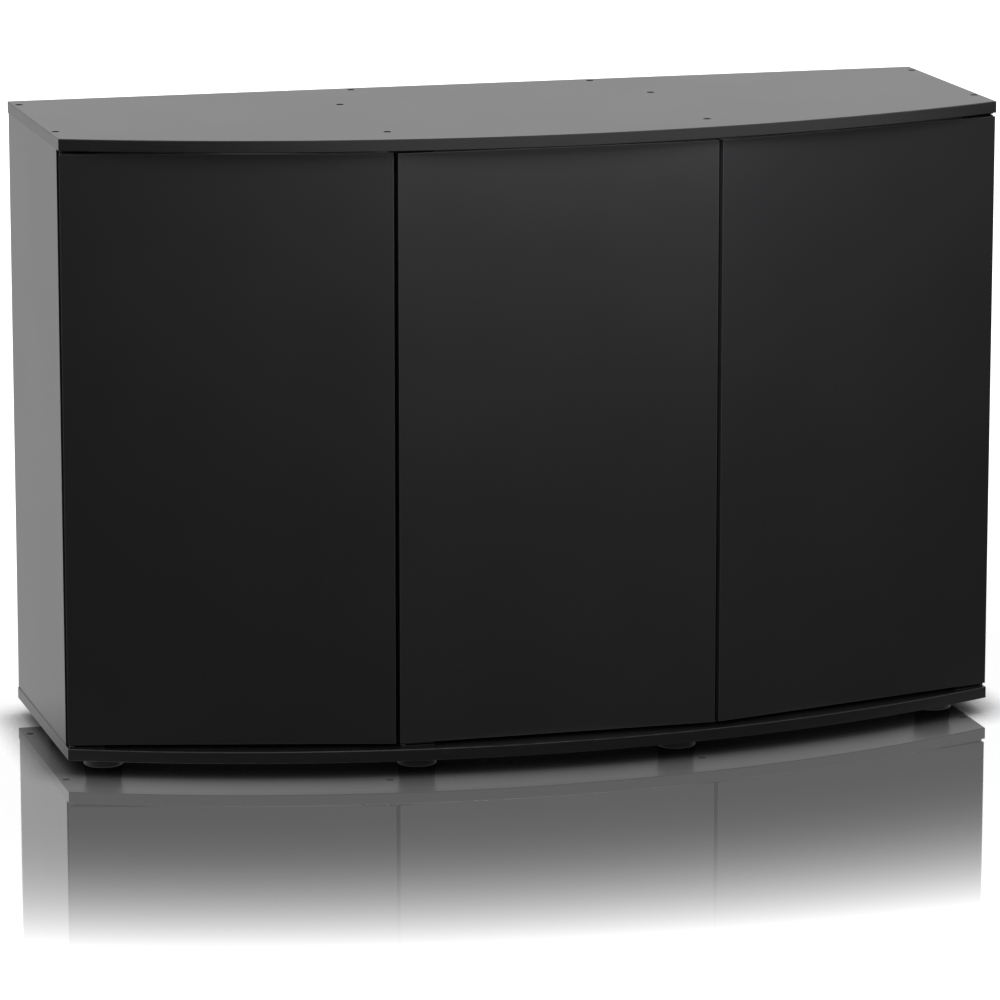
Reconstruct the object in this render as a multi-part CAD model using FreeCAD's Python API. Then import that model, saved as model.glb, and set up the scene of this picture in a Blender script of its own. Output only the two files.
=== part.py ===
import FreeCAD, Part
import os
from math import cos, hypot, radians, sin, sqrt

# Bow-front aquarium stand, flat-pack cabinet of faced chipboard. Millimetres.
# Origin: under the middle of the stand, on the floor. Front is -Y, left is -X as seen from the front.

# Outline and heights
width = 1210.0
depth = 460.0
bow = 128.0                      # how far the curved front stands out past the front corners
boardThickness = 15.0
footHeight = 20.0
height = 800.0
arrisRadius = 1.0                # small rounding on the long edges of the boards
doorArris = 0.5                  # and on the doors and shelves
cutPast = 1.0                    # how far a cut runs past the face that it starts from

backY = depth / 2
bowY = -depth / 2
baseBottom = footHeight
baseTop = baseBottom + boardThickness
topBottom = height - boardThickness
bandThickness = 1.0
bowRadius = ((width / 2) ** 2 + bow ** 2) / (2 * bow)

# Upright panels
sideInset = 1.0                  # the end boards overhang the side panels by this much
sideFrontY = -83.0
partitionX = 205.0
partitionFrontY = -184.0
panelDepth = backY - sideFrontY
partitionBackY = partitionFrontY + panelDepth
sideX = width / 2 - sideInset - boardThickness / 2
backPanelWidth = 400.0
backPanelY = 215.0               # middle of the centre back panel and of the thin back sheets

# Thin back sheets, slid into grooves in the side panels and in the ends of the centre back panel
sheetThickness = 3.0
grooveDepth = 3.0
hoseHole = (120.0, 180.0)        # cut-out for hoses and cables, wide and high
hoseHoleX = 285.0
hoseHoleZ = 650.0
hoseHoleRadius = 25.0

# Screws and dowels in the upright panels
sideScrewsY = (backY - 34.0, backY - 272.0)
partitionScrewsY = (backY - 139.0, backY - 381.0)
backScrewX = 160.0
dowelOffset = 45.0               # either side of the middle of a pair of screws
dowelRadius = 4.0
dowelInBoard = 10.0
dowelInPanel = 20.0
dowelHolePast = 0.5              # holes are this much deeper than the dowels
screwHeadRadius = 4.9
screwHeadHeight = 4.5
screwHeadSunk = 1.2
screwShankRadius = 3.4
screwThreadRadius = 2.4
screwThreadLength = 38.0
socketAcross = 4.0               # hexagon socket in the screw heads
socketDepth = 3.0
easeOfHole = 0.1                 # holes are this much larger in radius than what goes in them

# Doors: flat, 15 mm, between the boards. The outer two stand at an angle to follow the bow.
doorThickness = 15.0
doorGap = 5.4                    # between neighbouring front edges
doorClearance = 4.5              # above and below a door
outerCorner = (604.5, -100.5)    # front corner of an outer door at the side panel, left one mirrored
innerCorner = (207.6, -203.0)    # where the outer and middle door fronts would meet
doorBottom = baseTop + doorClearance
doorTop = topBottom - doorClearance

# Pivot hinges
pivotU = 5.0                     # from the hinge end of the door
pivotV = 6.0                     # behind the door's front face
plateThickness = 1.5
plateHalfWidth = 4.5
plateLength = 46.0
pinRadius = 2.0
pinLength = 11.0                 # past its plate
pinFit = 0.05                    # running clearance in radius
pinTipRadius = 0.5
pinWell = 3.0                    # radius of the hole in the door's edge
washerRadius = 4.0
thrustGap = 0.05
plateScrewU = (16.0, 36.0)
plateScrewRadius = 1.4
plateScrewHead = 2.9
plateScrewLength = 12.0
screwRecess = (0.9, 0.8)         # driver recess in a small head, radius and depth

# Push-to-open latches
latchHeight = 600.0
latchBody = (14.0, 55.0, 18.0)
latchSetBack = 6.0               # latch front behind the partition's front edge
plungerRadius = 3.5
plungerLength = 40.0
plungerGap = 0.3                 # between plunger tip and strike at rest
plungerWell = 49.0
latchEdgeRadius = 2.0
strikeRadius = 8.0
strikeThickness = 1.0
strikeEdgeRadius = 0.3
latchScrewRadius = 1.6
latchScrewHead = 2.5
latchScrewLength = latchBody[0] + 10.0
latchScrewSteps = ((-18.0, 6.2), (18.0, -6.2))   # from the middle of the cheek, back and up

# Shelves on pins
shelfBottom = 400.0
shelfGap = 1.0
shelfBackY = 110.0
shelfDoorGap = 45.0              # behind the backs of the doors
pinRowPitch = 32.0
pinRows = (-2, -1, 0, 1, 2)
shelfPinRadius = 2.5
shelfPinHole = 9.0
shelfPinOut = 9.0
sidePinsY = (-20.0, 80.0)
partitionPinsY = (-110.0, 80.0)

# Feet
footRadius = 25.0
footTop = 22.0                   # radius at the top
footWellRadius = 7.0
footWellDepth = 12.0
footEdgeRadius = 1.5
footPlaces = {"front_outer": (550.0, -50.0), "front_inner": (170.0, -150.0),
              "back_inner": (170.0, 180.0), "back_outer": (550.0, 180.0)}
footScrewHead = 5.0
footScrewHeadHeight = 2.6
footScrewHeadEdge = 0.8
footScrewRadius = 2.2
footScrewLength = 20.0
footHoleInBoard = 12.5
crossArm = 2.5                   # cross recess in the foot screws: half length, half width, depth
crossHalfWidth = 0.5
crossDepth = 1.4

up = FreeCAD.Vector(0, 0, 1)
down = FreeCAD.Vector(0, 0, -1)


def point(x, y, z=0.0):
    return FreeCAD.Vector(x, y, z)


def rod(radius, length, at, along=up):
    return Part.makeCylinder(radius, length, at, along)


def block(x0, y0, z0, x1, y1, z1):
    return Part.makeBox(x1 - x0, y1 - y0, z1 - z0, point(x0, y0, z0))


def softened(shape, radius, wanted):
    edges = [edge for edge in shape.Edges if wanted(edge)]
    return shape.makeFillet(radius, edges)


def withHoles(shape, tools):
    if not tools:
        return shape
    return shape.cut(Part.Compound(tools))


def prism(corners, z0, z1):
    points = [point(x, y, z0) for x, y in corners]
    face = Part.Face(Part.makePolygon(points + points[:1]))
    return face.extrude(point(0, 0, z1 - z0))


class Door:
    """A door's own axes: u runs along its face from the hinge end, v runs from its face into the cabinet."""

    def __init__(self, name, hinge, free):
        self.name = name
        self.width = hypot(free[0] - hinge[0], free[1] - hinge[1])
        self.origin = hinge
        self.u = ((free[0] - hinge[0]) / self.width, (free[1] - hinge[1]) / self.width)
        inward = 1.0 if self.u[0] > 0 else -1.0
        self.v = (-self.u[1] * inward, self.u[0] * inward)

    def at(self, u, v, z=0.0):
        x = self.origin[0] + u * self.u[0] + v * self.v[0]
        y = self.origin[1] + u * self.u[1] + v * self.v[1]
        return point(x, y, z)

    def slab(self, u0, v0, z0, u1, v1, z1):
        corners = [self.at(u, v) for u, v in ((u0, v0), (u1, v0), (u1, v1), (u0, v1))]
        return prism([(c.x, c.y) for c in corners], z0, z1)

    def backYAt(self, x):
        """Where the door's back face crosses a given X."""
        back = self.at(0, doorThickness)
        return back.y + (x - back.x) * self.u[1] / self.u[0]


def makeDoors():
    faceLength = hypot(outerCorner[0] - innerCorner[0], outerCorner[1] - innerCorner[1])
    share = 1 - doorGap / 2 / faceLength
    freeX = outerCorner[0] + (innerCorner[0] - outerCorner[0]) * share
    freeY = outerCorner[1] + (innerCorner[1] - outerCorner[1]) * share
    middleX = innerCorner[0] - doorGap / 2
    return [Door("left", (-outerCorner[0], outerCorner[1]), (-freeX, freeY)),
            Door("middle", (-middleX, innerCorner[1]), (middleX, innerCorner[1])),
            Door("right", outerCorner, (freeX, freeY))]


doors = makeDoors()
parts = {}


# Boards

def bowOutline(inset):
    """Outline of the boards: straight back and ends, arc front. All but the back is drawn in by inset."""
    x = width / 2 - inset
    radius = bowRadius - inset
    centreY = bowY + bowRadius
    y = centreY - sqrt(radius ** 2 - x ** 2)
    backLeft, backRight = point(-x, backY), point(x, backY)
    frontLeft, frontRight = point(-x, y), point(x, y)
    arc = Part.Arc(frontLeft, point(0, bowY + inset), frontRight).toShape()
    edges = [Part.makeLine(backRight, backLeft), Part.makeLine(backLeft, frontLeft), arc,
             Part.makeLine(frontRight, backRight)]
    return Part.Wire(Part.__sortEdges__(edges))


def bowBoard(inset, z):
    board = Part.Face(bowOutline(inset)).extrude(point(0, 0, boardThickness))
    board.translate(point(0, 0, z))
    return board


def isLevelEdge(edge):
    box = edge.BoundBox
    return box.ZLength < 0.01 and not (box.YLength < 0.01 and abs(box.YMin - backY) < 0.01)


def panelPlaces():
    """Screw places over every upright panel, as pairs."""
    pairs = []
    for sign in (-1, 1):
        pairs.append([(sign * sideX, y) for y in sideScrewsY])
        pairs.append([(sign * partitionX, y) for y in partitionScrewsY])
    pairs.append([(-backScrewX, backPanelY), (backScrewX, backPanelY)])
    return pairs


def dowelPlaces():
    places = []
    for (x0, y0), (x1, y1) in panelPlaces():
        length = hypot(x1 - x0, y1 - y0)
        step = dowelOffset / length
        for share in (0.5 - step, 0.5 + step):
            places.append((x0 + (x1 - x0) * share, y0 + (y1 - y0) * share))
    return places


def panelScrew(x, y, z, along):
    """Hexagon-socket panel screw. z is the board's outer face, along points into the board."""
    start = point(x, y, z) + along * screwHeadSunk
    neck = start + along * screwHeadHeight
    throat = point(x, y, z) + along * boardThickness
    shape = rod(screwHeadRadius, screwHeadHeight, start, along)
    shape = shape.fuse(rod(screwShankRadius, (throat - neck).Length, neck, along))
    shape = shape.fuse(rod(screwThreadRadius, screwThreadLength, throat, along))
    hexagon = Part.makePolygon([point(socketAcross / sqrt(3) * cos(radians(60 * k)),
                                      socketAcross / sqrt(3) * sin(radians(60 * k))) for k in range(7)])
    socket = Part.Face(hexagon).extrude(along * socketDepth)
    socket.translate(start)
    return shape.cut(socket)


def panelScrewHoles(x, y, z, along):
    outside = point(x, y, z) - along * cutPast
    headHole = rod(screwHeadRadius + easeOfHole, cutPast + screwHeadSunk + screwHeadHeight, outside, along)
    return [headHole, rod(screwShankRadius + easeOfHole, boardThickness + 2 * cutPast, outside, along)]


def boardNodes():
    places = [place for pair in panelPlaces() for place in pair]
    sides = {"top": (topBottom, height, down, topBottom), "base": (baseBottom, baseBottom, up, baseTop)}
    for name, (z, outerFace, along, joint) in sides.items():
        tools = []
        for x, y in places:
            tools += panelScrewHoles(x, y, outerFace, along)
        for x, y in dowelPlaces():
            start = point(x, y, joint) + along * cutPast
            length = cutPast + dowelInBoard + dowelHolePast
            tools.append(rod(dowelRadius + easeOfHole, length, start, along * -1))
        tools += hingeHolesInBoard(name)
        if name == "base":
            tools += footHolesInBoard()
        whole = softened(bowBoard(0, z), arrisRadius, isLevelEdge)
        core = bowBoard(bandThickness, z)
        parts[name + "_board"] = withHoles(whole.common(core), tools)
        parts[name + "_edge_band"] = whole.cut(core)


# Upright panels

def panelHoles(x, y):
    """Pilot holes for a panel screw at both ends of an upright panel."""
    radius = screwThreadRadius + easeOfHole
    length = screwThreadLength + 2 + cutPast
    return [rod(radius, length, point(x, y, topBottom + cutPast), down),
            rod(radius, length, point(x, y, baseTop - cutPast), up)]


def dowelHolesNear(x0, y0, x1, y1):
    tools = []
    for x, y in dowelPlaces():
        if x0 < x < x1 and y0 < y < y1:
            radius = dowelRadius + easeOfHole
            length = cutPast + dowelInPanel + dowelHolePast
            tools.append(rod(radius, length, point(x, y, topBottom + cutPast), down))
            tools.append(rod(radius, length, point(x, y, baseTop - cutPast), up))
    return tools


def shelfPinPlaces(sign, onSide):
    """Pin rows in the face that looks into an outer bay: x of the face, direction into the panel, y, z."""
    rows = []
    face = (sideX - boardThickness / 2) if onSide else (partitionX + boardThickness / 2)
    into = sign if onSide else -sign
    for y in (sidePinsY if onSide else partitionPinsY):
        for row in pinRows:
            z = shelfBottom - shelfPinRadius + row * pinRowPitch
            rows.append((row, point(sign * face, y, z), point(into, 0, 0)))
    return rows


def uprightPanel(x0, y0, x1, y1, screws, extra):
    panel = block(x0, y0, baseTop, x1, y1, topBottom)
    tools = dowelHolesNear(x0, y0, x1, y1) + extra
    for x, y in screws:
        tools += panelHoles(x, y)
    return withHoles(panel, tools)


def grooves():
    """What the back sheets' grooves take out of the panels on both sides of each sheet."""
    half = sheetThickness / 2 + easeOfHole
    tools = []
    for sign in (-1, 1):
        for face, into in ((sideX - boardThickness / 2, 1), (backPanelWidth / 2, -1)):
            mouth = face - into * cutPast
            bottom = face + into * (grooveDepth + easeOfHole)
            x0, x1 = sorted((sign * mouth, sign * bottom))
            tools.append(block(x0, backPanelY - half, baseTop - cutPast,
                               x1, backPanelY + half, topBottom + cutPast))
    return tools


def backSheet(sign):
    reach = (backPanelWidth / 2 - grooveDepth, sideX - boardThickness / 2 + grooveDepth)
    x0, x1 = sorted(sign * x for x in reach)
    half = sheetThickness / 2
    sheet = block(x0, backPanelY - half, baseTop, x1, backPanelY + half, topBottom)
    x = sign * hoseHoleX
    through = half + cutPast
    hole = block(x - hoseHole[0] / 2, backPanelY - through, hoseHoleZ - hoseHole[1] / 2,
                 x + hoseHole[0] / 2, backPanelY + through, hoseHoleZ + hoseHole[1] / 2)
    hole = softened(hole, hoseHoleRadius, lambda edge: edge.BoundBox.YLength > sheetThickness)
    return sheet.cut(hole)


def frontBand(x0, x1, frontY):
    return block(x0, frontY, baseTop, x1, frontY + bandThickness, topBottom)


def panelNodes():
    half = boardThickness / 2
    bands = []
    for sign, side in ((-1, "left"), (1, "right")):
        pinHoles = {}
        for onSide in (True, False):
            pinHoles[onSide] = [rod(shelfPinRadius + easeOfHole / 2, shelfPinHole + 2 * cutPast,
                                    face - into * cutPast, into)
                                for row, face, into in shelfPinPlaces(sign, onSide)]
        x = sign * sideX
        parts[side + "_side_panel"] = uprightPanel(
            x - half, sideFrontY + bandThickness, x + half, backY,
            [(x, y) for y in sideScrewsY], pinHoles[True] + grooves())
        bands.append(frontBand(x - half, x + half, sideFrontY))
        x = sign * partitionX
        parts[side + "_partition"] = uprightPanel(
            x - half, partitionFrontY + bandThickness, x + half, partitionBackY,
            [(x, y) for y in partitionScrewsY], pinHoles[False] + latchHolesInPartition(sign))
        bands.append(frontBand(x - half, x + half, partitionFrontY))
        parts[side + "_back_sheet"] = backSheet(sign)
    parts["centre_back_panel"] = uprightPanel(
        -backPanelWidth / 2, backPanelY - half, backPanelWidth / 2, backPanelY + half,
        [(-backScrewX, backPanelY), (backScrewX, backPanelY)], grooves())
    parts["panel_edge_bands"] = Part.Compound(bands)


def fastenerNodes():
    places = [place for pair in panelPlaces() for place in pair]
    parts["top_panel_screws"] = Part.Compound([panelScrew(x, y, height, down) for x, y in places])
    parts["base_panel_screws"] = Part.Compound([panelScrew(x, y, baseBottom, up) for x, y in places])
    dowels = []
    for x, y in dowelPlaces():
        length = dowelInBoard + dowelInPanel
        dowels.append(rod(dowelRadius, length, point(x, y, baseTop - dowelInBoard)))
        dowels.append(rod(dowelRadius, length, point(x, y, topBottom + dowelInBoard), down))
    parts["dowels"] = Part.Compound(dowels)


# Doors and their pivot hinges

def screwWithHead(at, along, length=plateScrewLength, radius=plateScrewRadius, head=plateScrewHead):
    """Countersunk screw. at is the middle of its flat head, along points into the material."""
    depth = head - radius
    cone = Part.makeCone(head, radius, depth, at, along)
    shank = rod(radius, length - depth, at + along * depth, along)
    recess = rod(screwRecess[0], cutPast + screwRecess[1], at - along * cutPast, along)
    return cone.fuse(shank).cut(recess)


def screwHole(at, along, length=plateScrewLength, radius=plateScrewRadius, head=plateScrewHead):
    ease = easeOfHole / 2
    depth = head - radius
    cone = Part.makeCone(head + ease, radius + ease, depth, at, along)
    return cone.fuse(rod(radius + ease, length + cutPast, at, along))


def plateOutline(door, z0):
    """A hinge plate: one rounded end round the pin and one at the far end."""
    half = plateHalfWidth
    start = pivotU
    end = plateLength - half
    v = pivotV
    points = [door.at(start, v - half, z0), door.at(end, v - half, z0),
              door.at(end + half, v, z0), door.at(end, v + half, z0),
              door.at(start, v + half, z0), door.at(start - half, v, z0)]
    edges = [Part.makeLine(points[0], points[1]), Part.Arc(points[1], points[2], points[3]).toShape(),
             Part.makeLine(points[3], points[4]), Part.Arc(points[4], points[5], points[0]).toShape()]
    return Part.Face(Part.Wire(Part.__sortEdges__(edges)))


def hingePlate(door, z0, z1):
    return plateOutline(door, z0).extrude(point(0, 0, z1 - z0))


hingeEnds = {
    "lower": dict(board="base", face=baseTop, away=up, doorEdge=doorBottom),
    "upper": dict(board="top", face=topBottom, away=down, doorEdge=doorTop),
}


def framePlateScrewAt(door, end, u):
    spec = hingeEnds[end]
    return door.at(u, pivotV, spec["face"]) + spec["away"] * plateThickness


def doorPlateScrewAt(door, end, u):
    spec = hingeEnds[end]
    return door.at(u, pivotV, spec["doorEdge"]) - spec["away"] * plateThickness


def hingeHolesInBoard(board):
    tools = []
    for door in doors:
        for end, spec in hingeEnds.items():
            if spec["board"] == board:
                tools += [screwHole(framePlateScrewAt(door, end, u), spec["away"] * -1) for u in plateScrewU]
    return tools


def hingeNodes():
    frameScrews = []
    washers = []
    for door in doors:
        for end, spec in hingeEnds.items():
            away = spec["away"]
            face = spec["face"]
            outer = face + away.z * plateThickness
            plate = hingePlate(door, min(face, outer), max(face, outer))
            heads = [framePlateScrewAt(door, end, u) for u in plateScrewU]
            plate = withHoles(plate, [screwHole(head, away * -1) for head in heads])
            pin = rod(pinRadius, plateThickness + pinLength, door.at(pivotU, pivotV, face), away)
            tip = face + away.z * (plateThickness + pinLength)
            pin = softened(pin, pinTipRadius, lambda edge, z=tip: abs(edge.BoundBox.ZMin - z) < 0.01
                           and edge.BoundBox.ZLength < 0.01)
            parts["%s_door_%s_pivot" % (door.name, end)] = plate.fuse(pin).removeSplitter()
            frameScrews += [screwWithHead(head, away * -1) for head in heads]

            edge = spec["doorEdge"]
            shoe = edge - away.z * plateThickness
            plate = hingePlate(door, min(edge, shoe), max(edge, shoe))
            start = door.at(pivotU, pivotV, shoe - away.z * cutPast)
            bore = rod(pinRadius + pinFit, plateThickness + 2 * cutPast, start, away)
            tools = [bore] + [screwHole(doorPlateScrewAt(door, end, u), away) for u in plateScrewU]
            parts["%s_door_%s_socket" % (door.name, end)] = withHoles(plate, tools)
        low = baseTop + plateThickness
        high = doorBottom - plateThickness - thrustGap
        at = door.at(pivotU, pivotV, low)
        washer = rod(washerRadius, high - low, at)
        washers.append(washer.cut(rod(pinRadius + pinFit, high - low, at)))
    parts["pivot_screws"] = Part.Compound(frameScrews)
    parts["pivot_washers"] = Part.Compound(washers)


def doorHoles(door):
    tools = []
    for end, spec in hingeEnds.items():
        away = spec["away"]
        start = door.at(pivotU, pivotV, spec["doorEdge"]) - away * cutPast
        tools.append(rod(pinWell, pinLength + 2 * cutPast, start, away))
        tools += [screwHole(doorPlateScrewAt(door, end, u), away) for u in plateScrewU]
    return tools


def doorNodes():
    for door in doors:
        whole = door.slab(0, 0, doorBottom, door.width, doorThickness, doorTop)
        whole = softened(whole, doorArris, lambda edge: True)
        inner = door.slab(bandThickness, -cutPast, doorBottom + bandThickness,
                          door.width - bandThickness, doorThickness + cutPast, doorTop - bandThickness)
        tools = doorHoles(door)
        parts[door.name + "_door"] = withHoles(whole.common(inner), tools)
        parts[door.name + "_door_edge_band"] = withHoles(whole.cut(inner), tools)
        screws = []
        for end, spec in hingeEnds.items():
            screws += [screwWithHead(doorPlateScrewAt(door, end, u), spec["away"]) for u in plateScrewU]
        parts[door.name + "_door_screws"] = Part.Compound(screws)


# Push-to-open latches, one beside the free end of each door

def latchPlaces():
    """Door, the partition face that carries its latch and the way that face looks."""
    half = boardThickness / 2
    return [(doors[0], -partitionX - half, -1.0), (doors[1], partitionX - half, -1.0),
            (doors[2], partitionX + half, 1.0)]


def latchScrewsAt(face, out):
    """Heads of a latch's two screws on its outer cheek, above and below the plunger's well."""
    y = partitionFrontY + latchSetBack + latchBody[1] / 2
    return [point(face + out * latchBody[0], y + step, latchHeight + lift) for step, lift in latchScrewSteps]


def latchScrewHoles(face, out):
    into = point(-out, 0, 0)
    return [screwHole(at, into, latchScrewLength, latchScrewRadius, latchScrewHead)
            for at in latchScrewsAt(face, out)]


def latchHolesInPartition(sign):
    tools = []
    for door, face, out in latchPlaces():
        if face * sign > 0:
            tools += latchScrewHoles(face, out)
    return tools


def latchNodes():
    screws = []
    front = partitionFrontY + latchSetBack
    for door, face, out in latchPlaces():
        x = face + out * latchBody[0] / 2
        z = latchHeight
        body = block(min(face, face + out * latchBody[0]), front, z - latchBody[2] / 2,
                     max(face, face + out * latchBody[0]), front + latchBody[1], z + latchBody[2] / 2)
        outer = face + out * latchBody[0]
        body = softened(body, latchEdgeRadius, lambda edge: abs(edge.BoundBox.XMin - outer) < 0.01
                        and edge.BoundBox.XLength < 0.01)
        mouth = point(x, front - cutPast, z)
        well = rod(plungerRadius + easeOfHole, cutPast + plungerWell, mouth, point(0, 1, 0))
        parts[door.name + "_latch_housing"] = withHoles(body, [well] + latchScrewHoles(face, out))
        screws += [screwWithHead(at, point(-out, 0, 0), latchScrewLength, latchScrewRadius, latchScrewHead)
                   for at in latchScrewsAt(face, out)]

        # The strike lies on the door's back; the plunger's domed tip stops just short of it.
        backY = door.backYAt(x)
        middle = point(x, backY, z)
        inward = point(door.v[0], door.v[1])
        strike = rod(strikeRadius, strikeThickness, middle, inward)
        doorPoint = Part.Vertex(middle)
        parts[door.name + "_strike_disc"] = softened(
            strike, strikeEdgeRadius, lambda edge: edge.BoundBox.ZLength > strikeRadius
            and edge.distToShape(doorPoint)[0] > strikeRadius + 0.02)
        centreY = backY + (strikeThickness + plungerGap + plungerRadius) / door.v[1]
        dome = Part.makeSphere(plungerRadius, point(x, centreY, z))
        barrel = rod(plungerRadius, plungerLength, point(x, centreY, z), point(0, 1, 0))
        parts[door.name + "_latch_plunger"] = dome.fuse(barrel).removeSplitter()
    parts["latch_screws"] = Part.Compound(screws)


# Shelves

def shelfNodes():
    pins = []
    for sign, side, door in ((-1, "left", doors[0]), (1, "right", doors[2])):
        outer = sign * (sideX - boardThickness / 2 - shelfGap)
        inner = sign * (partitionX + boardThickness / 2 + shelfGap)
        corners = [(outer, shelfBackY), (outer, door.backYAt(outer) + shelfDoorGap),
                   (inner, door.backYAt(inner) + shelfDoorGap), (inner, shelfBackY)]
        lift = easeOfHole / 5
        shelf = prism(corners, shelfBottom + lift, shelfBottom + lift + boardThickness)
        parts[side + "_shelf"] = softened(shelf, doorArris, lambda edge: edge.BoundBox.ZLength < 0.01)
        for onSide in (True, False):
            for row, face, into in shelfPinPlaces(sign, onSide):
                if row == 0:
                    start = face + into * shelfPinHole
                    pins.append(rod(shelfPinRadius, shelfPinHole + shelfPinOut, start, into * -1))
    parts["shelf_pins"] = Part.Compound(pins)


# Feet

def footPositions():
    for side, sign in (("left", -1), ("right", 1)):
        for place, (x, y) in footPlaces.items():
            yield "foot_%s_%s" % (place, side), sign * x, y


def footHolesInBoard():
    return [rod(footScrewRadius + easeOfHole, cutPast + footHoleInBoard, point(x, y, footHeight - cutPast))
            for name, x, y in footPositions()]


def footNodes():
    screws = []
    for name, x, y in footPositions():
        foot = Part.makeCone(footRadius, footTop, footHeight, point(x, y, 0))
        foot = softened(foot, footEdgeRadius, lambda edge: edge.BoundBox.ZMax < 0.01
                        and edge.BoundBox.XLength > footRadius)
        tools = [rod(footWellRadius, footWellDepth + cutPast, point(x, y, -cutPast)),
                 rod(footScrewRadius + easeOfHole, footHeight + 2 * cutPast, point(x, y, -cutPast))]
        parts[name] = withHoles(foot, tools)
        head = rod(footScrewHead, footScrewHeadHeight, point(x, y, footWellDepth), down)
        lowest = footWellDepth - footScrewHeadHeight
        head = softened(head, footScrewHeadEdge, lambda edge: edge.BoundBox.ZMax < lowest + 0.1)
        recessTop = lowest + crossDepth
        cross = block(x - crossArm, y - crossHalfWidth, 0, x + crossArm, y + crossHalfWidth, recessTop)
        cross = cross.fuse(block(x - crossHalfWidth, y - crossArm, 0,
                                 x + crossHalfWidth, y + crossArm, recessTop))
        screws.append(head.fuse(rod(footScrewRadius, footScrewLength, point(x, y, footWellDepth))).cut(cross))
    parts["foot_screws"] = Part.Compound(screws)


def main():
    boardNodes()
    panelNodes()
    fastenerNodes()
    doorNodes()
    hingeNodes()
    latchNodes()
    shelfNodes()
    footNodes()
    os.makedirs("parts", exist_ok=True)
    for name, shape in parts.items():
        if not shape.isValid():
            print("not valid:", name)
        shape.exportStep("parts/%s.step" % name)
    print(len(parts), "parts")
    for door in doors:
        pivot = door.at(pivotU, pivotV)
        print("%s door: width %.2f, pivot at X %.3f, Y %.3f" % (door.name, door.width, pivot.x, pivot.y))


main()
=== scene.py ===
from math import cos, pi, radians, sin

import bmesh
import bpy
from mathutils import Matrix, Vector


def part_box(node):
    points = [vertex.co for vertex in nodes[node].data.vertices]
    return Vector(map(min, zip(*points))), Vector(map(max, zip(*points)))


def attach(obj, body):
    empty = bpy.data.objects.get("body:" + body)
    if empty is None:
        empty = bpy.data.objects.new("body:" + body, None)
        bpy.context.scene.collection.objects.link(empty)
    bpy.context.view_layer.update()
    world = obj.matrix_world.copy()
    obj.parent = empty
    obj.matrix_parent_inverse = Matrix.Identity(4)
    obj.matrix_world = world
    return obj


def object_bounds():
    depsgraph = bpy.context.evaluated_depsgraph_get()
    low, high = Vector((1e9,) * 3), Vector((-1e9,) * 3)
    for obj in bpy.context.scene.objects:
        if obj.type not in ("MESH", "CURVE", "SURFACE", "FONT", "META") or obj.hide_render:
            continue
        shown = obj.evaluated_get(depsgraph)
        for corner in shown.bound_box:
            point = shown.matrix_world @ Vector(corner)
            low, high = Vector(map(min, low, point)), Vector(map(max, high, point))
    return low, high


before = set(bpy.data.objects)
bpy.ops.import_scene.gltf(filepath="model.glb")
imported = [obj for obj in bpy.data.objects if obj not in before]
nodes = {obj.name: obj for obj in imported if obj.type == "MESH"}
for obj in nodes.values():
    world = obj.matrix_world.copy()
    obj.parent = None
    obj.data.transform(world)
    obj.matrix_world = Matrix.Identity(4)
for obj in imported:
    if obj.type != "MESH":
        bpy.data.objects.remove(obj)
cadLow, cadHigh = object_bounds()
scene = bpy.context.scene
mm = 0.001
sides = ("left", "middle", "right")
noiseLow, noiseHigh = 0.3, 0.7        # nearly all of a noise texture's values lie between these

print("frame loaded:", len(nodes), "parts")


def linear(hexColour):
    # sRGB hex to the linear values that the shaders take
    parts = [int(hexColour[i:i + 2], 16) / 255 for i in (1, 3, 5)]
    values = [c / 12.92 if c <= 0.04045 else ((c + 0.055) / 1.055) ** 2.4 for c in parts]
    return (*values, 1.0)


def addNode(tree, kind, settings=None, links=None):
    # Settings are attributes or socket values. Links go from other nodes' outputs into this
    # one's sockets. A socket is given by name or number: a Mix node's factor is 0, its two
    # numbers are 2 and 3, vectors 4 and 5 and colours 6 and 7. A Map Range node maps 0 from
    # between 1 and 2 to between 3 and 4.
    node = tree.nodes.new(kind)
    for key, value in (settings or {}).items():
        if isinstance(key, str) and hasattr(node, key):
            setattr(node, key, value)
        else:
            node.inputs[key].default_value = value
    for key, source in (links or {}).items():
        tree.links.new(source, node.inputs[key])
    return node


def newMaterial(name):
    material = bpy.data.materials.new(name)
    material.use_nodes = True
    material.node_tree.nodes.clear()
    return material, material.node_tree


def finishMaterial(tree, shader):
    addNode(tree, "ShaderNodeOutputMaterial", links={"Surface": shader.outputs[0]})


def dress(names, material):
    for name in names:
        slots = nodes[name].data.materials
        if not slots:
            slots.append(material)
        for i in range(len(slots)):
            slots[i] = material


# Melamine-faced chipboard, black. The facing is pressed against a finely pearled plate, so it
# shines softly and its highlights break up. Where a board isn't edged the sawn chipboard shows:
# pale pressed chips, some dark with bark, quite dull.
melamine = {
    "colour": "#0f0f10",
    "paler": "#141415",
    "cloudMm": 240.0,     # slight changes of tone from one stretch of facing to the next
    "roughness": 0.32,
    "roughnessSpread": 0.008,
    "ior": 1.48,
    "pearlMm": 1.6,       # the real pearl is 0.5 mm, drawn coarser so that it shows
    "pearlDepthMm": 0.02,
    "pearlStrength": 0.35,
    "chipMm": (4.5, 1.6),     # length and thickness of a pressed chip
    "chipPale": "#cdb088",
    "chipDark": "#7d5c38",
    "chipRoughness": 0.85,
    "chipDepthMm": 0.25,
    "endFacing": 0.9,         # a face is a sawn end if it looks this nearly along the bare axis
}


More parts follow.
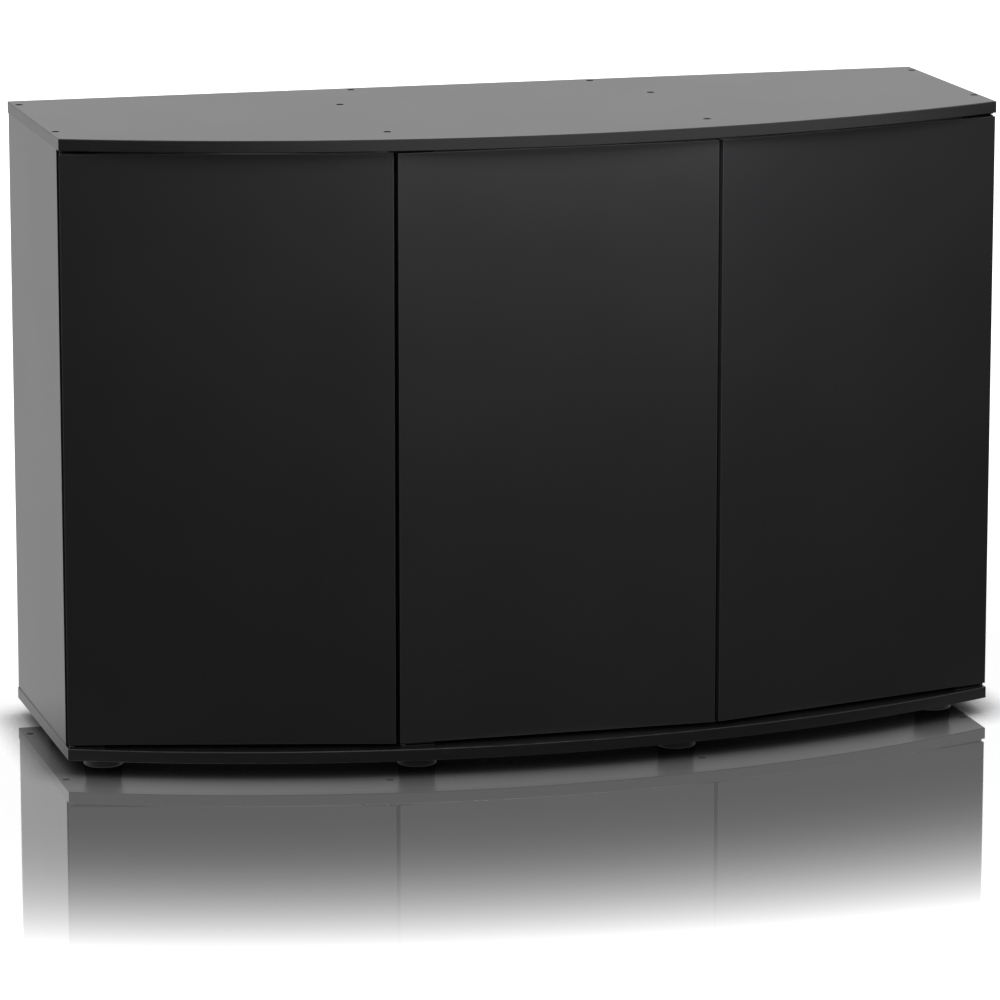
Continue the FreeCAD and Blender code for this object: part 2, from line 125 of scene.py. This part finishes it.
def melamineBoard(name, values, bareAxis=None, bareFrom=0.0, bothEnds=False):
    # bareAxis is the direction that unedged ends look along, and bareFrom is where they start on
    # it, in metres. With bothEnds, the far end is bare too.
    material, tree = newMaterial(name)
    coordinates = addNode(tree, "ShaderNodeTexCoord")
    place = coordinates.outputs["Object"]
    pearl = addNode(tree, "ShaderNodeTexNoise",
                    {"Scale": 1 / (values["pearlMm"] * mm), "Detail": 2.0, "Roughness": 0.6},
                    {"Vector": place})
    cloud = addNode(tree, "ShaderNodeTexNoise",
                    {"Scale": 1 / (values["cloudMm"] * mm), "Detail": 4.0, "Roughness": 0.55},
                    {"Vector": place})
    tone = addNode(tree, "ShaderNodeMix", {"data_type": "RGBA", 6: linear(values["colour"]),
                                           7: linear(values["paler"])}, {0: cloud.outputs["Fac"]})
    gloss = addNode(tree, "ShaderNodeMapRange",
                    {1: noiseLow, 2: noiseHigh,
                     3: values["roughness"] - values["roughnessSpread"],
                     4: values["roughness"] + values["roughnessSpread"]},
                    {0: cloud.outputs["Fac"]})
    bump = addNode(tree, "ShaderNodeBump", {"Strength": values["pearlStrength"],
                                            "Distance": values["pearlDepthMm"] * mm},
                   {"Height": pearl.outputs["Fac"]})
    colour, roughness, normal = tone.outputs[2], gloss.outputs[0], bump.outputs[0]
    if bareAxis:
        tests = []
        for source, least in ((coordinates.outputs["Normal"], values["endFacing"]),
                              (place, bareFrom)):
            along = addNode(tree, "ShaderNodeVectorMath",
                            {"operation": "DOT_PRODUCT", 1: bareAxis},
                            {0: source}).outputs["Value"]
            if bothEnds:
                along = addNode(tree, "ShaderNodeMath", {"operation": "ABSOLUTE"},
                                {0: along}).outputs[0]
            tests.append(addNode(tree, "ShaderNodeMath", {"operation": "GREATER_THAN", 1: least},
                                 {0: along}).outputs[0])
        bare = addNode(tree, "ShaderNodeMath", {"operation": "MULTIPLY"},
                       {0: tests[0], 1: tests[1]}).outputs[0]
        chipLong, chipThick = values["chipMm"]
        stretched = addNode(tree, "ShaderNodeMapping",
                            {"Scale": (1 / (chipLong * mm), 1 / (chipLong * mm),
                                       1 / (chipThick * mm))}, {"Vector": place})
        chips = addNode(tree, "ShaderNodeTexVoronoi", {"Scale": 1.0, "Randomness": 1.0},
                        {"Vector": stretched.outputs[0]})
        chipTone = addNode(tree, "ShaderNodeSeparateColor", links={0: chips.outputs["Color"]})
        chipColour = addNode(tree, "ShaderNodeMix",
                             {"data_type": "RGBA", 6: linear(values["chipPale"]),
                              7: linear(values["chipDark"])}, {0: chipTone.outputs[0]})
        chipBump = addNode(tree, "ShaderNodeBump",
                           {"Strength": 1.0, "Distance": values["chipDepthMm"] * mm},
                           {"Height": chipTone.outputs[1]})
        colour = addNode(tree, "ShaderNodeMix", {"data_type": "RGBA"},
                         {0: bare, 6: colour, 7: chipColour.outputs[2]}).outputs[2]
        roughness = addNode(tree, "ShaderNodeMix",
                            {"data_type": "FLOAT", 3: values["chipRoughness"]},
                            {0: bare, 2: roughness}).outputs[0]
        normal = addNode(tree, "ShaderNodeMix", {"data_type": "VECTOR"},
                         {0: bare, 4: normal, 5: chipBump.outputs[0]}).outputs[1]
    shader = addNode(tree, "ShaderNodeBsdfPrincipled", {"IOR": values["ior"]},
                     {"Base Color": colour, "Roughness": roughness, "Normal": normal})
    finishMaterial(tree, shader)
    return material


across, back = (1.0, 0.0, 0.0), (0.0, 1.0, 0.0)
outerBackFrom = cadHigh[1] - 0.5 * mm     # the carcase boards' unedged back ends start here,
innerBackFrom = 0.1                       # those of the partitions and shelves behind this,
panelEndFrom = 0.19                       # and the centre panel's ends past this on either side

doorFacing = melamineBoard("melamineFacedDoor", melamine)
dress([side + "_door" for side in sides], doorFacing)
openBack = melamineBoard("melamineBoardBareAtBack", melamine, back, outerBackFrom)
dress(["top_board", "base_board", "left_side_panel", "right_side_panel"], openBack)
insideBack = melamineBoard("melamineBoardBareBehind", melamine, back, innerBackFrom)
dress(["left_partition", "right_partition", "left_shelf", "right_shelf"], insideBack)
bareEnds = melamineBoard("melamineBoardBareAtEnds", melamine, across, panelEndFrom,
                         bothEnds=True)
dress(["centre_back_panel"], bareEnds)
print("boards and doors dressed")


# ABS edging, black: an extruded strip with faint lines along its length, matt beside the facing,
# with a slightly paler bloom here and there.
edging = {
    "colour": "#141415",
    "bloom": "#1c1c1d",
    "bloomMm": 60.0,
    "roughness": 0.36,
    "roughnessSpread": 0.02,
    "ior": 1.5,
    "lineMm": 1.5,        # the real lines are about 0.3 mm apart
    "lineDepthMm": 0.004,
}

# Hardboard, lacquered black: pressed wood fibre, so the lacquer lies over a fine felt of fibres.
hardboard = {
    "colour": "#121213",
    "paler": "#1d1c1b",
    "fibreMm": (6.0, 0.9),    # real fibres are thinner, drawn wide enough to show
    "fibreDepthMm": 0.06,
    "roughness": 0.5,
    "roughnessSpread": 0.07,
    "ior": 1.5,
}

# Beech, turned for dowels: pale pinkish wood with grain along the dowel and small dark flecks.
beech = {
    "colour": "#c99d6f",
    "dark": "#a8794c",
    "grainMm": (0.9, 12.0),
    "roughness": 0.6,
    "roughnessSpread": 0.06,
    "ior": 1.5,
    "depthMm": 0.05,
}


streakLow, streakHigh = 0.35, 0.75    # the second tone comes in between these noise values


def streaked(name, values, first, second, scaleMm, depthMm):
    # one tone running into another along stretched noise, for edging, fibre and wood grain
    material, tree = newMaterial(name)
    place = addNode(tree, "ShaderNodeTexCoord").outputs["Object"]
    stretched = addNode(tree, "ShaderNodeMapping",
                        {"Scale": tuple(1 / (s * mm) for s in scaleMm)}, {"Vector": place})
    streaks = addNode(tree, "ShaderNodeTexNoise",
                      {"Scale": 1.0, "Detail": 3.0, "Roughness": 0.6},
                      {"Vector": stretched.outputs[0]})
    tone = addNode(tree, "ShaderNodeMapRange", {1: streakLow, 2: streakHigh},
                   {0: streaks.outputs["Fac"]})
    colour = addNode(tree, "ShaderNodeMix",
                     {"data_type": "RGBA", 6: linear(first), 7: linear(second)},
                     {0: tone.outputs[0]})
    gloss = addNode(tree, "ShaderNodeMapRange",
                    {1: noiseLow, 2: noiseHigh,
                     3: values["roughness"] - values["roughnessSpread"],
                     4: values["roughness"] + values["roughnessSpread"]},
                    {0: streaks.outputs["Fac"]})
    bump = addNode(tree, "ShaderNodeBump", {"Strength": 0.6, "Distance": depthMm * mm},
                   {"Height": streaks.outputs["Fac"]})
    shader = addNode(tree, "ShaderNodeBsdfPrincipled", {"IOR": values["ior"]},
                     {"Base Color": colour.outputs[2], "Roughness": gloss.outputs[0],
                      "Normal": bump.outputs[0]})
    finishMaterial(tree, shader)
    return material


edgeStrip = streaked("absEdging", edging, edging["colour"], edging["bloom"],
                     (edging["bloomMm"], edging["bloomMm"], edging["lineMm"]),
                     edging["lineDepthMm"])
dress(["top_edge_band", "base_edge_band", "panel_edge_bands"]
      + [side + "_door_edge_band" for side in sides], edgeStrip)
fibreLong, fibreWide = hardboard["fibreMm"]
backFacing = streaked("lacqueredHardboard", hardboard, hardboard["colour"], hardboard["paler"],
                      (fibreLong, fibreWide, fibreWide), hardboard["fibreDepthMm"])
dress(["left_back_sheet", "right_back_sheet"], backFacing)
grainWide, grainLong = beech["grainMm"]
dowelWood = streaked("turnedBeech", beech, beech["colour"], beech["dark"],
                     (grainWide, grainWide, grainLong), beech["depthMm"])
dress(["dowels"], dowelWood)
print("edging, back sheets and dowels dressed")


# Blackened steel, for panel screws and hinges: a thin dark oxide, so they shine dimly and warmly.
blackSteel = {
    "colour": "#2c2b2b",
    "other": "#3b3734",
    "patchMm": 3.0,
    "roughness": 0.4,
    "roughnessSpread": 0.08,
    "depthMm": 0.01,
}

# Zinc-plated steel: bluish silver with faint cloudy patches from the plating bath.
zincSteel = {
    "colour": "#b3b8bd",
    "other": "#9aa0a5",
    "patchMm": 4.0,
    "roughness": 0.3,
    "roughnessSpread": 0.07,
    "depthMm": 0.008,
}

# Nickel-plated steel: warmer and brighter, pressed parts with a fine tumbled finish.
nickelSteel = {
    "colour": "#cbc4b8",
    "other": "#bab2a5",
    "patchMm": 2.0,
    "roughness": 0.22,
    "roughnessSpread": 0.05,
    "depthMm": 0.006,
}


def platedSteel(name, values):
    # two close tones in soft patches, which also vary the polish a little
    material, tree = newMaterial(name)
    place = addNode(tree, "ShaderNodeTexCoord").outputs["Object"]
    patches = addNode(tree, "ShaderNodeTexNoise",
                      {"Scale": 1 / (values["patchMm"] * mm), "Detail": 5.0, "Roughness": 0.65},
                      {"Vector": place})
    colour = addNode(tree, "ShaderNodeMix", {"data_type": "RGBA", 6: linear(values["colour"]),
                                             7: linear(values["other"])},
                     {0: patches.outputs["Fac"]})
    gloss = addNode(tree, "ShaderNodeMapRange",
                    {1: noiseLow, 2: noiseHigh,
                     3: values["roughness"] - values["roughnessSpread"],
                     4: values["roughness"] + values["roughnessSpread"]},
                    {0: patches.outputs["Fac"]})
    bump = addNode(tree, "ShaderNodeBump",
                   {"Strength": 0.5, "Distance": values["depthMm"] * mm},
                   {"Height": patches.outputs["Fac"]})
    shader = addNode(tree, "ShaderNodeBsdfPrincipled", {"Metallic": 1.0},
                     {"Base Color": colour.outputs[2], "Roughness": gloss.outputs[0],
                      "Normal": bump.outputs[0]})
    finishMaterial(tree, shader)
    return material


screwSteel = platedSteel("blackenedSteel", blackSteel)
dress(["top_panel_screws", "base_panel_screws", "pivot_screws"]
      + [side + "_door_screws" for side in sides], screwSteel)
platedScrews = platedSteel("zincPlatedSteel", zincSteel)
dress(["foot_screws", "latch_screws"], platedScrews)
dress([side + "_door_" + end + kind for side in sides for end in ("lower", "upper")
       for kind in ("_pivot", "_socket")], screwSteel)
pressings = platedSteel("nickelPlatedSteel", nickelSteel)
dress(["shelf_pins"] + [side + "_strike_disc" for side in sides], pressings)
print("metal dressed")


# Polypropylene, black, moulded for the feet: slightly waxy, with a spark-eroded grain.
footPlastic = {
    "colour": "#131314",
    "other": "#1b1b1c",
    "roughness": 0.46,
    "roughnessSpread": 0.05,
    "ior": 1.49,
    "grainMm": 1.4,       # the real grain is 0.3 mm, drawn coarser so that it shows
    "grainDepthMm": 0.05,
    "clear": 0.0,
}

# ABS, dark grey, moulded for the latch housings and washers: an even satin grain.
latchPlastic = {
    "colour": "#35373a",
    "other": "#3d3f42",
    "roughness": 0.4,
    "roughnessSpread": 0.04,
    "ior": 1.53,
    "grainMm": 1.0,
    "grainDepthMm": 0.03,
    "clear": 0.0,
}

# Nylon, undyed, for the plungers: milky, so light goes a little way in.
nylon = {
    "colour": "#e6e0cf",
    "other": "#dad3bf",
    "roughness": 0.38,
    "roughnessSpread": 0.05,
    "ior": 1.53,
    "grainMm": 1.6,
    "grainDepthMm": 0.015,
    "clear": 0.25,        # share of the light that goes in and comes out again
}

lightReach = (2 * mm, 1.6 * mm, 1.2 * mm)     # how far red, green and blue light go in


def mouldedPlastic(name, values):
    # the mould's grain as fine relief, with two close tones
    material, tree = newMaterial(name)
    place = addNode(tree, "ShaderNodeTexCoord").outputs["Object"]
    grain = addNode(tree, "ShaderNodeTexNoise",
                    {"Scale": 1 / (values["grainMm"] * mm), "Detail": 3.0, "Roughness": 0.7},
                    {"Vector": place})
    colour = addNode(tree, "ShaderNodeMix", {"data_type": "RGBA", 6: linear(values["colour"]),
                                             7: linear(values["other"])},
                     {0: grain.outputs["Fac"]})
    gloss = addNode(tree, "ShaderNodeMapRange",
                    {1: noiseLow, 2: noiseHigh,
                     3: values["roughness"] - values["roughnessSpread"],
                     4: values["roughness"] + values["roughnessSpread"]},
                    {0: grain.outputs["Fac"]})
    bump = addNode(tree, "ShaderNodeBump",
                   {"Strength": 0.5, "Distance": values["grainDepthMm"] * mm},
                   {"Height": grain.outputs["Fac"]})
    shader = addNode(tree, "ShaderNodeBsdfPrincipled",
                     {"IOR": values["ior"], "Subsurface Weight": values["clear"],
                      "Subsurface Radius": lightReach, "Subsurface Scale": 1.0},
                     {"Base Color": colour.outputs[2], "Roughness": gloss.outputs[0],
                      "Normal": bump.outputs[0]})
    finishMaterial(tree, shader)
    return material


feetMaterial = mouldedPlastic("mouldedPolypropylene", footPlastic)
feetNames = [name for name in nodes if name.startswith("foot_") and name != "foot_screws"]
dress(feetNames, feetMaterial)
latchMaterial = mouldedPlastic("mouldedAbs", latchPlastic)
dress(["pivot_washers"] + [side + "_latch_housing" for side in sides], latchMaterial)
nylonMaterial = mouldedPlastic("undyedNylon", nylon)
dress([side + "_latch_plunger" for side in sides], nylonMaterial)
print("plastic dressed")


# Collar round each plunger's mouth and the ribs along the latch's cheek, moulded with the housing
latchTrim = {
    "collarInnerMm": 3.7,
    "collarOuterMm": 5.8,
    "collarStandMm": 1.6,
    "collarRoundingMm": 0.5,
    "collarCorner": 0.3,      # how far in the middle of a rounded corner lies, of the rounding
    "collarSteps": 40,
    "ribs": 4,
    "ribPitchMm": 3.2,
    "ribHeightMm": 0.7,
    "ribWidthMm": 1.3,
    "ribFromFrontMm": 27.0,
    "ribReachMm": 6.4,        # half of a rib's length
    "ribEndHeight": 0.15,     # what is left of a rib's height at its very ends
    "ribRoundSteps": 6,
}


def addCollar(mesh, middle, values):
    # a ring turned about the plunger's axis, which runs along Y
    inner, outer = values["collarInnerMm"] * mm, values["collarOuterMm"] * mm
    stand, rounding = values["collarStandMm"] * mm, values["collarRoundingMm"] * mm
    corner = rounding * values["collarCorner"]
    profile = [(inner, 0.0), (inner, stand - rounding), (inner + corner, stand - corner),
               (inner + rounding, stand), (outer - rounding, stand),
               (outer - corner, stand - corner), (outer, stand - rounding), (outer, 0.0)]
    rings = []
    for step in range(values["collarSteps"]):
        a = 2 * pi * step / values["collarSteps"]
        rings.append([mesh.verts.new(middle + Vector((r * cos(a), -out, r * sin(a))))
                      for r, out in profile])
    for i, ring in enumerate(rings):
        following = rings[(i + 1) % len(rings)]
        for j in range(len(profile)):
            k = (j + 1) % len(profile)
            mesh.faces.new((ring[j], following[j], following[k], ring[k]))


def addRib(mesh, middle, outward, values):
    # a half-round bar that runs up the cheek and slopes down to its closed ends
    half, high = values["ribWidthMm"] / 2 * mm, values["ribHeightMm"] * mm
    reach, low = values["ribReachMm"] * mm, values["ribEndHeight"]
    arc = [pi * step / values["ribRoundSteps"] for step in range(values["ribRoundSteps"] + 1)]
    sections = []
    for lift, size in ((-reach, low), (-reach + high, 1.0), (reach - high, 1.0), (reach, low)):
        sections.append([mesh.verts.new(middle + Vector((outward * high * size * sin(a),
                                                         half * cos(a), lift))) for a in arc])
    for lower, upper in zip(sections, sections[1:]):
        for i in range(len(arc)):
            j = (i + 1) % len(arc)
            mesh.faces.new((lower[i], lower[j], upper[j], upper[i]))
    mesh.faces.new(sections[0])
    mesh.faces.new(sections[-1])


def makeLatchTrim(side, values):
    # The right latch's free cheek looks right, the other two's look left
    low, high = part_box(side + "_latch_housing")
    outward = 1.0 if side == "right" else -1.0
    middleX, middleZ = (low[0] + high[0]) / 2, (low[2] + high[2]) / 2
    cheekX = high[0] if outward > 0 else low[0]
    build = bmesh.new()
    addCollar(build, Vector((middleX, low[1], middleZ)), values)
    for i in range(values["ribs"]):
        step = i - (values["ribs"] - 1) / 2
        fromFront = (values["ribFromFrontMm"] + values["ribPitchMm"] * step) * mm
        addRib(build, Vector((cheekX, low[1] + fromFront, middleZ)), outward, values)
    bmesh.ops.recalc_face_normals(build, faces=build.faces)
    mesh = bpy.data.meshes.new(side + "LatchTrim")
    build.to_mesh(mesh)
    build.free()
    piece = bpy.data.objects.new(side + "LatchTrim", mesh)
    scene.collection.objects.link(piece)
    mesh.materials.append(latchMaterial)
    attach(piece, "cabinet")


for side in sides:
    makeLatchTrim(side, latchTrim)
print("latch collars and ribs made")


# Lengths are metres, and tones are shares of full white
studio = {
    "floorSize": 60.0,
    "surroundFront": 0.09,    # the room's lower half in front, which is what the doors mirror
    "surroundBack": 0.95,     # the white cyclorama behind the stand, and the ceiling
    "frontFrom": -0.35,       # where the one turns into the other, as a share of the way back
    "frontTo": 0.3,
    "ceilingFrom": 0.12,      # and as a share of the way up
    "ceilingTo": 0.36,
    "litFrom": -0.25,         # where the floor turns from dim to bright, front to back
    "litTo": 0.3,
    "whiteSeen": 1.6,         # background and floor as the camera sees them, just past white
    "mirrorNear": 0.945,      # share of mirror in the floor beside the stand
    "mirrorRoughness": 0.03,
    "bowCentre": (0.0, 1.2638, 0.0),      # the mirror fades out in arcs round the bow's centre
    "bowRadius": 1.4938,
    "fadeOver": 0.82,         # from there to where no mirror is left
    "fadePower": 4.1,         # slow at first, then quick
    "fadeBehind": (0.3, 1.2),
    "mirrorBehind": 0.2,      # what is left of the mirror well behind the stand
    "contactDepth": 0.06,     # how far the soft shadow painted into the floor under the stand reaches
    "contactPower": 2.2,
    "poolPlace": (0.18, -0.76, 1.22),     # close above the doors
    "poolAim": (0.16, -0.15, 0.5),
    "poolSize": (0.95, 0.4),
    "poolPower": 16.8,        # watts of each of two, only one of which the top's overhang shades
    "edgePlace": (1.0, -2.5, 0.9),        # long and low, for the curved edge of the top
    "edgeAim": (0.0, 0.0, 0.4),
    "edgeSize": (4.5, 0.9),
    "edgePower": 26.0,
    "fillPlace": (0.1, -2.6, 1.0),        # reaches only what the doors hide
    "fillAim": (0.0, 0.0, 0.4),
    "fillSize": (1.6, 1.0),
    "fillPower": 170.0,
}


def makeFloor():
    mesh = bpy.data.meshes.new("studioFloor")
    half = studio["floorSize"] / 2
    corners = [(-half, -half, 0), (half, -half, 0), (half, half, 0), (-half, half, 0)]
    mesh.from_pydata(corners, [], [(0, 1, 2, 3)])
    floor = bpy.data.objects.new("studioFloor", mesh)
    scene.collection.objects.link(floor)
    # Glossy white acrylic, which mirrors the stand close by and fades to plain white in front,
    # with a soft shadow painted into its glow and its mirror under the stand
    material, tree = newMaterial("glossyWhiteAcrylic")
    place = addNode(tree, "ShaderNodeTexCoord").outputs["Object"]
    fromCentre = addNode(tree, "ShaderNodeVectorMath",
                         {"operation": "DISTANCE", 1: studio["bowCentre"]}, {0: place})
    share = addNode(tree, "ShaderNodeMapRange",
                    {1: studio["bowRadius"], 2: studio["bowRadius"] + studio["fadeOver"]},
                    {0: fromCentre.outputs["Value"]})
    faded = addNode(tree, "ShaderNodeMath", {"operation": "POWER", 1: studio["fadePower"]},
                    {0: share.outputs[0]})
    front = addNode(tree, "ShaderNodeMath", {"operation": "SUBTRACT", 0: 1.0},
                    {1: faded.outputs[0]})
    depth = addNode(tree, "ShaderNodeSeparateXYZ", links={0: place}).outputs[1]
    behindFrom, behindTo = studio["fadeBehind"]
    behind = addNode(tree, "ShaderNodeMapRange",
                     {1: behindFrom, 2: behindTo, 3: 1.0, 4: studio["mirrorBehind"]}, {0: depth})
    near = addNode(tree, "ShaderNodeMath", {"operation": "MULTIPLY"},
                   {0: front.outputs[0], 1: behind.outputs[0]})
    mirror = addNode(tree, "ShaderNodeMath", {"operation": "MULTIPLY", 1: studio["mirrorNear"]},
                     {0: near.outputs[0]})
    # Painted shadow: an occlusion test darkens the floor's white glow and its mirror where the
    # stand is close above
    contact = addNode(tree, "ShaderNodeAmbientOcclusion",
                      {"samples": 8, "Distance": studio["contactDepth"]})
    shadow = addNode(tree, "ShaderNodeMath", {"operation": "POWER", 1: studio["contactPower"]},
                     {0: contact.outputs["AO"]})
    whiteness = addNode(tree, "ShaderNodeMath",
                        {"operation": "MULTIPLY", 1: studio["whiteSeen"]},
                        {0: shadow.outputs[0]})
    white = addNode(tree, "ShaderNodeEmission", links={"Strength": whiteness.outputs[0]})
    gloss = addNode(tree, "ShaderNodeBsdfGlossy", {"Roughness": studio["mirrorRoughness"]},
                    {"Color": shadow.outputs[0]})
    seen = addNode(tree, "ShaderNodeMixShader",
                   links={0: mirror.outputs[0], 1: white.outputs[0], 2: gloss.outputs[0]})
    # What the stand itself gets from the floor is dim in front and bright behind
    level = addNode(tree, "ShaderNodeMapRange",
                    {1: studio["litFrom"], 2: studio["litTo"], 3: studio["surroundFront"],
                     4: studio["surroundBack"]}, {0: depth})
    lit = addNode(tree, "ShaderNodeEmission", links={"Strength": level.outputs[0]})
    path = addNode(tree, "ShaderNodeLightPath")
    both = addNode(tree, "ShaderNodeMixShader",
                   links={0: path.outputs["Is Camera Ray"], 1: lit.outputs[0], 2: seen.outputs[0]})
    finishMaterial(tree, both)
    mesh.materials.append(material)


def makeSurround():
    world = bpy.data.worlds.new("studioSurround")
    scene.world = world
    world.use_nodes = True
    tree = world.node_tree
    tree.nodes.clear()
    direction = addNode(tree, "ShaderNodeSeparateXYZ",
                        links={0: addNode(tree, "ShaderNodeTexCoord").outputs["Generated"]})
    backward = addNode(tree, "ShaderNodeMapRange",
                       {1: studio["frontFrom"], 2: studio["frontTo"]}, {0: direction.outputs[1]})
    upward = addNode(tree, "ShaderNodeMapRange",
                     {1: studio["ceilingFrom"], 2: studio["ceilingTo"]},
                     {0: direction.outputs[2]})
    bright = addNode(tree, "ShaderNodeMath", {"operation": "MAXIMUM"},
                     {0: backward.outputs[0], 1: upward.outputs[0]})
    level = addNode(tree, "ShaderNodeMapRange",
                    {3: studio["surroundFront"], 4: studio["surroundBack"]},
                    {0: bright.outputs[0]})
    path = addNode(tree, "ShaderNodeLightPath")
    strength = addNode(tree, "ShaderNodeMix", {"data_type": "FLOAT", 3: studio["whiteSeen"]},
                       {0: path.outputs["Is Camera Ray"], 2: level.outputs[0]})
    light = addNode(tree, "ShaderNodeBackground", {"Color": (1, 1, 1, 1)},
                    {"Strength": strength.outputs[0]})
    addNode(tree, "ShaderNodeOutputWorld", links={"Surface": light.outputs[0]})


def makeSoftbox(name, litNames, shadowNames=None):
    # The name picks the softbox's values in studio. Flags keep its light off everything but
    # litNames. If shadowNames are given, only they throw its shadows.
    light = bpy.data.lights.new(name + "Light", "AREA")
    light.shape = "RECTANGLE"
    light.size, light.size_y = studio[name + "Size"]
    light.energy = studio[name + "Power"]
    holder = bpy.data.objects.new(name + "Light", light)
    place, aim = Vector(studio[name + "Place"]), Vector(studio[name + "Aim"])
    holder.location = place
    holder.rotation_euler = (aim - place).to_track_quat("-Z", "Y").to_euler()
    scene.collection.objects.link(holder)
    for kind, wanted in (("receiver", litNames), ("blocker", shadowNames)):
        if wanted:
            group = bpy.data.collections.new(name + kind)
            for pieceName in wanted:
                group.objects.link(bpy.data.objects[pieceName])
            setattr(holder.light_linking, kind + "_collection", group)


cameraPlace = {
    "azimuth": -15.415,       # degrees round from the front, negative to the left
    "elevation": 12.155,
    "distance": 7.3666,       # metres from the aim
    "lens": 207.9,            # a long lens, so the stand is drawn nearly flat
    "aim": (-0.0203, 0.0, 0.2969),
    "farthest": 100.0,
}


def makeCamera():
    camera = bpy.data.cameras.new("camera")
    camera.lens = cameraPlace["lens"]
    camera.clip_end = cameraPlace["farthest"]
    holder = bpy.data.objects.new("camera", camera)
    turn, rise = radians(cameraPlace["azimuth"]), radians(cameraPlace["elevation"])
    away = Vector((sin(turn) * cos(rise), -cos(turn) * cos(rise), sin(rise)))
    holder.location = Vector(cameraPlace["aim"]) + away * cameraPlace["distance"]
    holder.rotation_euler = (-away).to_track_quat("-Z", "Y").to_euler()
    scene.collection.objects.link(holder)
    scene.camera = holder


makeFloor()
makeSurround()
doorNames = [side + kind for side in sides for kind in ("_door", "_door_edge_band")]
for shadowNames in (None, doorNames):
    makeSoftbox("pool", doorNames, shadowNames)
makeSoftbox("edge", ["top_edge_band", "base_board"])
insideNames = ["left_partition", "right_partition", "left_shelf", "right_shelf",
               "centre_back_panel", "left_back_sheet", "right_back_sheet", "shelf_pins",
               "latch_screws"]
insideNames += [side + kind for side in sides
                for kind in ("_latch_housing", "_latch_plunger", "_strike_disc", "LatchTrim")]
makeSoftbox("fill", insideNames)
makeCamera()
scene.view_settings.view_transform = "Standard"
print("studio set up")
